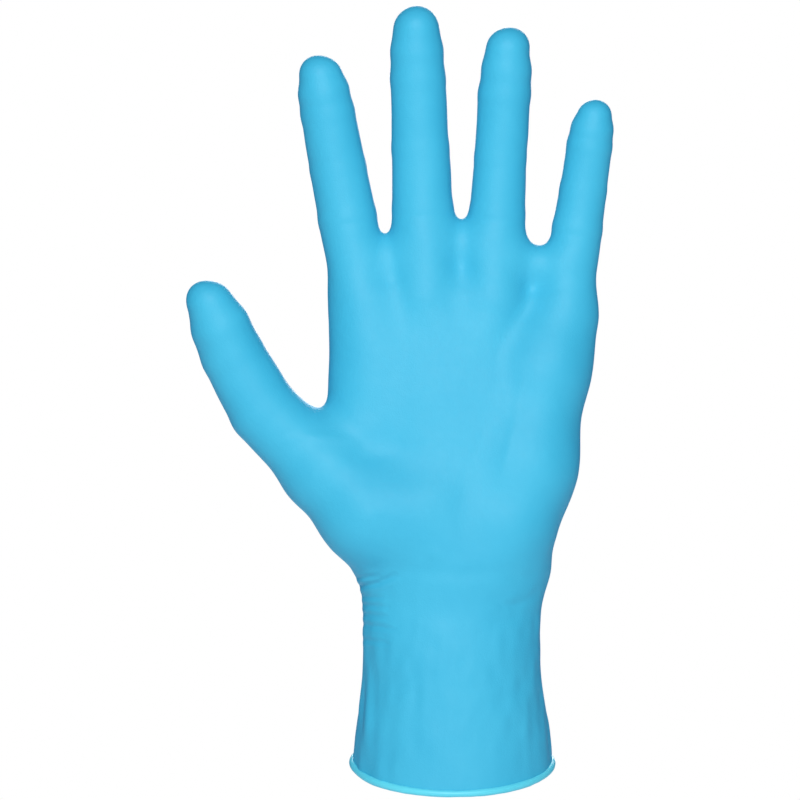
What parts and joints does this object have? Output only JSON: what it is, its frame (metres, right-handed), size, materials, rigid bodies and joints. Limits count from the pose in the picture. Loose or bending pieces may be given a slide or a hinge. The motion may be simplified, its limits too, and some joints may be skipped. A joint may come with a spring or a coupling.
{
  "type": "disposable nitrile glove",
  "caption": "Thin blue nitrile examination glove for a left hand, filled out as worn, palm forward, with a rolled bead round the cuff's opening.",
  "frame": {"origin": "centre of the cuff's opening, where a hand goes in", "axes": "+Z from the cuff to the fingertips, -Y out of the palm, -X towards the thumb"},
  "size_m": [0.1288, 0.0577, 0.2381],
  "materials": {
    "film": "thin satin blue nitrile film with a fine grain",
    "bead": "smooth satin blue nitrile, rolled, a little lighter than the film"
  },
  "bodies": {
    "cuff": {"cuff": "film", "rolled_bead": "bead"},
    "palm": {"palm_front": "film", "palm_back": "film"},
    "knuckles": {"knuckles_front": "film", "knuckles_back": "film"},
    "thumb_root": {"thumb_root": "film"},
    "thumb_proximal": {"thumb_proximal": "film"},
    "thumb_tip": {"thumb_tip": "film"},
    "index_proximal": {"index_proximal": "film"},
    "index_middle": {"index_middle": "film"},
    "index_tip": {"index_tip": "film"},
    "middle_proximal": {"middle_proximal": "film"},
    "middle_middle": {"middle_middle": "film"},
    "middle_tip": {"middle_tip": "film"},
    "ring_proximal": {"ring_proximal": "film"},
    "ring_middle": {"ring_middle": "film"},
    "ring_tip": {"ring_tip": "film"},
    "little_proximal": {"little_proximal": "film"},
    "little_middle": {"little_middle": "film"},
    "little_tip": {"little_tip": "film"}
  },
  "joints": [
    {"name": "wrist_bend", "type": "hinge", "parent": "cuff", "child": "palm", "pos_m": [0, -0.009, 0.04991], "axis": [1, 0, 0], "range_deg": [-50, 60]},
    {"name": "knuckles_fold", "type": "hinge", "parent": "palm", "child": "knuckles", "pos_m": [0, -0.009, 0.14145], "axis": [1, 0, 0], "range_deg": [-15, 55]},
    {"name": "thumb_root_spread", "type": "hinge", "parent": "palm", "child": "thumb_root", "pos_m": [-0.0375, -0.013, 0.083], "axis": [0.158, 0, -0.9874], "range_deg": [-35, 5]},
    {"name": "thumb_middle_bend", "type": "hinge", "parent": "thumb_root", "child": "thumb_proximal", "pos_m": [-0.059, -0.017, 0.1065], "axis": [0.5745, 0.7002, 0.4239], "range_deg": [-5, 40]},
    {"name": "thumb_end_bend", "type": "hinge", "parent": "thumb_proximal", "child": "thumb_tip", "pos_m": [-0.06821, -0.01971, 0.12347], "axis": [0.5745, 0.7002, 0.4239], "range_deg": [-5, 50]},
    {"name": "index_root_bend", "type": "hinge", "parent": "knuckles", "child": "index_proximal", "pos_m": [-0.0322, -0.009, 0.1655], "axis": [0.9829, 0, 0.184], "range_deg": [-15, 35]},
    {"name": "index_middle_bend", "type": "hinge", "parent": "index_proximal", "child": "index_middle", "pos_m": [-0.03497, -0.01005, 0.18033], "axis": [0.9829, 0, 0.184], "range_deg": [-4, 90]},
    {"name": "index_end_bend", "type": "hinge", "parent": "index_middle", "child": "index_tip", "pos_m": [-0.0381, -0.01244, 0.19701], "axis": [0.9829, 0, 0.184], "range_deg": [-4, 55]},
    {"name": "middle_root_bend", "type": "hinge", "parent": "knuckles", "child": "middle_proximal", "pos_m": [-0.0097, -0.009, 0.168], "axis": [0.9993, 0, 0.0366], "range_deg": [-15, 35]},
    {"name": "middle_middle_bend", "type": "hinge", "parent": "middle_proximal", "child": "middle_middle", "pos_m": [-0.01038, -0.0103, 0.1866], "axis": [0.9993, 0, 0.0366], "range_deg": [-4, 90]},
    {"name": "middle_end_bend", "type": "hinge", "parent": "middle_middle", "child": "middle_tip", "pos_m": [-0.01115, -0.01324, 0.20753], "axis": [0.9993, 0, 0.0366], "range_deg": [-4, 55]},
    {"name": "ring_root_bend", "type": "hinge", "parent": "knuckles", "child": "ring_proximal", "pos_m": [0.0131, -0.009, 0.1665], "axis": [0.998, 0, -0.0628], "range_deg": [-15, 35]},
    {"name": "ring_middle_bend", "type": "hinge", "parent": "ring_proximal", "child": "ring_middle", "pos_m": [0.01417, -0.0102, 0.18358], "axis": [0.998, 0, -0.0628], "range_deg": [-4, 90]},
    {"name": "ring_end_bend", "type": "hinge", "parent": "ring_middle", "child": "ring_tip", "pos_m": [0.01538, -0.0129, 0.20281], "axis": [0.998, 0, -0.0628], "range_deg": [-4, 55]},
    {"name": "little_root_bend", "type": "hinge", "parent": "knuckles", "child": "little_proximal", "pos_m": [0.037, -0.009, 0.162], "axis": [0.9895, 0, -0.1444], "range_deg": [-15, 35]},
    {"name": "little_middle_bend", "type": "hinge", "parent": "little_proximal", "child": "little_middle", "pos_m": [0.03873, -0.00984, 0.17387], "axis": [0.9895, 0, -0.1444], "range_deg": [-4, 90]},
    {"name": "little_end_bend", "type": "hinge", "parent": "little_middle", "child": "little_tip", "pos_m": [0.04068, -0.01174, 0.18723], "axis": [0.9895, 0, -0.1444], "range_deg": [-4, 55]}
  ]
}
